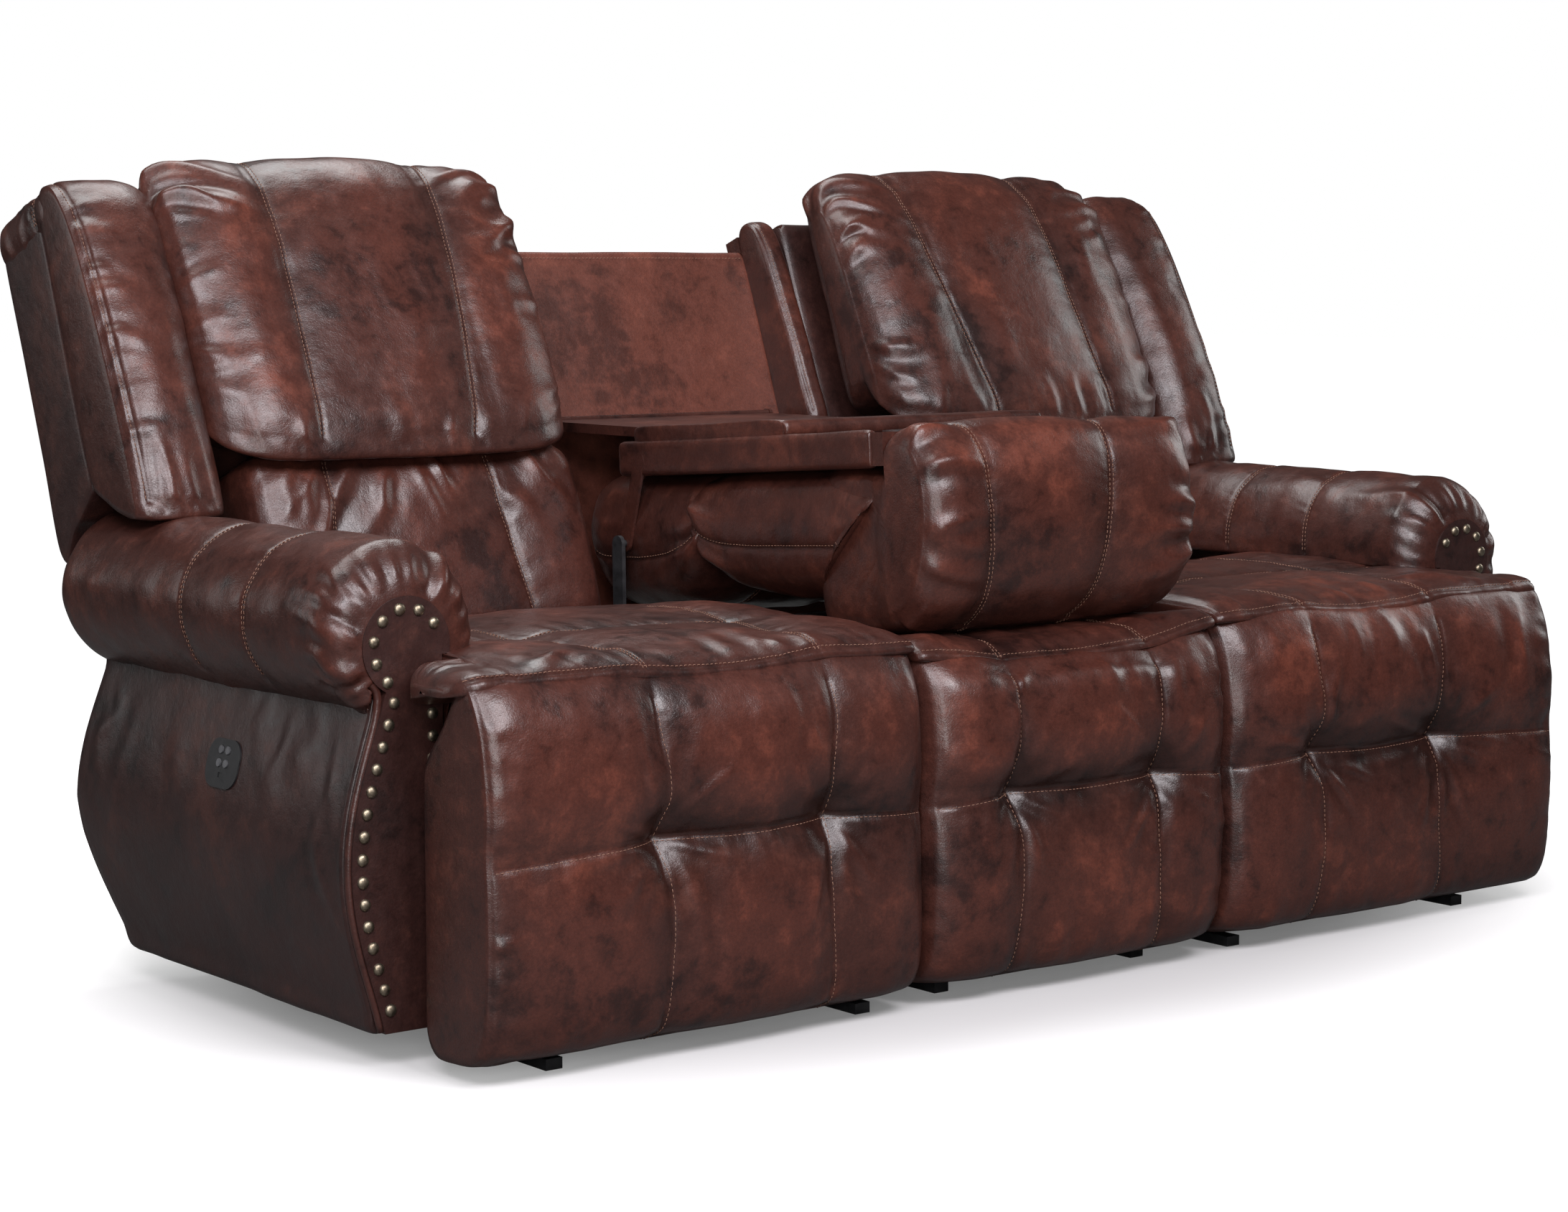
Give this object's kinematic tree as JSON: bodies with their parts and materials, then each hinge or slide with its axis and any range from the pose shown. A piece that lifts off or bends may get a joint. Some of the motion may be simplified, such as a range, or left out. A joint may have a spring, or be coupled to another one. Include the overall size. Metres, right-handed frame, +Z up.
{
  "type": "power reclining sofa",
  "caption": "Wide upholstered sofa with rolled arms, power reclining outer seats with footrests and tilting headrests, and a centre back that folds down into a tray table.",
  "frame": {"origin": "on the floor under the middle of the sofa's overall width and depth", "axes": "+X to the right across the sofa as seen from the front, -Y towards the front, +Z up"},
  "size_m": [2.091, 1.1309, 1.1004],
  "materials": {
    "leather": "satin, mottled antique dark red-brown",
    "leather_panel": "satin",
    "timber": "bare",
    "mechanism_steel": "black powder coat",
    "spring_steel": "plain drawn wire",
    "drive_plastic": "matte",
    "switch_plastic": "matte",
    "button_plastic": "satin",
    "nail_brass": "antique",
    "cup_steel": "brushed"
  },
  "bodies": {
    "frame": {"nailheads": "nail_brass", "base_rails": "leather", "centre_seat_box": "timber", "centre_seat_cushion": "leather", "centre_front_pad": "leather", "centre_back_panel": "leather", "panel_ears": "leather", "table_hinges": "mechanism_steel", "left_arm_shell": "leather", "left_arm_roll": "leather", "left_arm_front": "leather_panel", "left_switch_plate": "switch_plastic", "left_mech_base": "mechanism_steel", "left_actuator": "drive_plastic", "right_arm_shell": "leather", "right_arm_roll": "leather", "right_arm_front": "leather_panel", "right_switch_plate": "switch_plastic", "right_mech_base": "mechanism_steel", "right_actuator": "drive_plastic"},
    "left_seat": {"left_seat_carriage": "mechanism_steel", "left_seat_box": "timber", "left_seat_springs": "spring_steel", "left_seat_cushion": "leather"},
    "left_back": {"left_back_frame": "leather", "left_lumbar_cushion": "leather", "left_wing": "leather"},
    "left_headrest": {"left_headrest_bracket": "mechanism_steel", "left_head_pillow": "leather"},
    "left_footrest": {"left_footrest_board": "timber", "left_front_pad": "leather"},
    "left_crank": {"left_link_a": "mechanism_steel"},
    "left_coupler": {"left_link_b": "mechanism_steel"},
    "left_push_button_a": {"left_button_a": "button_plastic"},
    "left_push_button_b": {"left_button_b": "button_plastic"},
    "left_push_button_c": {"left_button_c": "button_plastic"},
    "left_push_button_d": {"left_button_d": "button_plastic"},
    "right_seat": {"right_seat_carriage": "mechanism_steel", "right_seat_box": "timber", "right_seat_springs": "spring_steel", "right_seat_cushion": "leather"},
    "right_back": {"right_back_frame": "leather", "right_lumbar_cushion": "leather", "right_wing": "leather"},
    "right_headrest": {"right_headrest_bracket": "mechanism_steel", "right_head_pillow": "leather"},
    "right_footrest": {"right_footrest_board": "timber", "right_front_pad": "leather"},
    "right_crank": {"right_link_a": "mechanism_steel"},
    "right_coupler": {"right_link_b": "mechanism_steel"},
    "right_push_button_a": {"right_button_a": "button_plastic"},
    "right_push_button_b": {"right_button_b": "button_plastic"},
    "right_push_button_c": {"right_button_c": "button_plastic"},
    "right_push_button_d": {"right_button_d": "button_plastic"},
    "table": {"table_tray": "leather", "table_lid": "leather", "cup_holders": "cup_steel", "table_lumbar_cushion": "leather", "table_pillow": "leather"},
    "flap": {"hinge_flap": "leather"}
  },
  "joints": [
    {"name": "left_recline", "type": "slide", "parent": "frame", "child": "left_seat", "axis": [0, -1, 0], "range_m": [0, 0.1]},
    {"name": "left_back_hinge", "type": "hinge", "parent": "left_seat", "child": "left_back", "pos_m": [0, 0.28089, 0.4], "axis": [-1, 0, 0], "range_deg": [0, 28]},
    {"name": "left_footrest_hinge", "type": "hinge", "parent": "left_seat", "child": "left_footrest", "pos_m": [0, -0.50711, 0.474], "axis": [-1, 0, 0], "range_deg": [0, 78]},
    {"name": "left_crank_pivot", "type": "hinge", "parent": "left_seat", "child": "left_crank", "pos_m": [0, -0.36911, 0.285], "axis": [-1, 0, 0], "range_deg": [0, 78]},
    {"name": "left_coupler_pivot", "type": "hinge", "parent": "left_crank", "child": "left_coupler", "pos_m": [0, -0.25511, 0.163], "axis": [1, 0, 0], "range_deg": [0, 78]},
    {"name": "left_headrest_hinge", "type": "hinge", "parent": "left_back", "child": "left_headrest", "pos_m": [0, 0.2613, 0.71173], "axis": [1, 0, 0], "range_deg": [0, 25]},
    {"name": "left_button_a_press", "type": "slide", "parent": "frame", "child": "left_push_button_a", "axis": [0.9677, 0, -0.252], "range_m": [0, 0.0012], "stiffness_N_per_m": 400, "springref_m": -0.001},
    {"name": "left_button_b_press", "type": "slide", "parent": "frame", "child": "left_push_button_b", "axis": [0.9677, 0, -0.252], "range_m": [0, 0.0012], "stiffness_N_per_m": 400, "springref_m": -0.001},
    {"name": "left_button_c_press", "type": "slide", "parent": "frame", "child": "left_push_button_c", "axis": [0.9677, 0, -0.252], "range_m": [0, 0.0012], "stiffness_N_per_m": 400, "springref_m": -0.001},
    {"name": "left_button_d_press", "type": "slide", "parent": "frame", "child": "left_push_button_d", "axis": [0.9677, 0, -0.252], "range_m": [0, 0.0012], "stiffness_N_per_m": 400, "springref_m": -0.001},
    {"name": "right_recline", "type": "slide", "parent": "frame", "child": "right_seat", "axis": [0, -1, 0], "range_m": [0, 0.1]},
    {"name": "right_back_hinge", "type": "hinge", "parent": "right_seat", "child": "right_back", "pos_m": [0, 0.28089, 0.4], "axis": [-1, 0, 0], "range_deg": [0, 28]},
    {"name": "right_footrest_hinge", "type": "hinge", "parent": "right_seat", "child": "right_footrest", "pos_m": [0, -0.50711, 0.474], "axis": [-1, 0, 0], "range_deg": [0, 78]},
    {"name": "right_crank_pivot", "type": "hinge", "parent": "right_seat", "child": "right_crank", "pos_m": [0, -0.36911, 0.285], "axis": [-1, 0, 0], "range_deg": [0, 78]},
    {"name": "right_coupler_pivot", "type": "hinge", "parent": "right_crank", "child": "right_coupler", "pos_m": [0, -0.25511, 0.163], "axis": [1, 0, 0], "range_deg": [0, 78]},
    {"name": "right_headrest_hinge", "type": "hinge", "parent": "right_back", "child": "right_headrest", "pos_m": [0, 0.2613, 0.71173], "axis": [1, 0, 0], "range_deg": [0, 25]},
    {"name": "right_button_a_press", "type": "slide", "parent": "frame", "child": "right_push_button_a", "axis": [-0.9677, 0, -0.252], "range_m": [0, 0.0012], "stiffness_N_per_m": 400, "springref_m": -0.001},
    {"name": "right_button_b_press", "type": "slide", "parent": "frame", "child": "right_push_button_b", "axis": [-0.9677, 0, -0.252], "range_m": [0, 0.0012], "stiffness_N_per_m": 400, "springref_m": -0.001},
    {"name": "right_button_c_press", "type": "slide", "parent": "frame", "child": "right_push_button_c", "axis": [-0.9677, 0, -0.252], "range_m": [0, 0.0012], "stiffness_N_per_m": 400, "springref_m": -0.001},
    {"name": "right_button_d_press", "type": "slide", "parent": "frame", "child": "right_push_button_d", "axis": [-0.9677, 0, -0.252], "range_m": [0, 0.0012], "stiffness_N_per_m": 400, "springref_m": -0.001},
    {"name": "table_hinge", "type": "hinge", "parent": "frame", "child": "table", "pos_m": [0, 0.16089, 0.556], "axis": [-1, 0, 0], "range_deg": [0, 107]},
    {"name": "flap_hinge", "type": "hinge", "parent": "frame", "child": "flap", "pos_m": [0, 0.41789, 0.722], "axis": [-1, 0, 0], "range_deg": [0, 111]}
  ],
  "couplings": [
    {"joint": "left_back_hinge", "follows": "left_recline", "rad_per_m": 4.8869},
    {"joint": "left_footrest_hinge", "follows": "left_recline", "rad_per_m": 13.614},
    {"joint": "left_crank_pivot", "follows": "left_recline", "rad_per_m": 13.614},
    {"joint": "left_coupler_pivot", "follows": "left_recline", "rad_per_m": 13.614},
    {"joint": "right_back_hinge", "follows": "right_recline", "rad_per_m": 4.8869},
    {"joint": "right_footrest_hinge", "follows": "right_recline", "rad_per_m": 13.614},
    {"joint": "right_crank_pivot", "follows": "right_recline", "rad_per_m": 13.614},
    {"joint": "right_coupler_pivot", "follows": "right_recline", "rad_per_m": 13.614},
    {"joint": "flap_hinge", "follows": "table_hinge", "ratio": 1.0374}
  ]
}
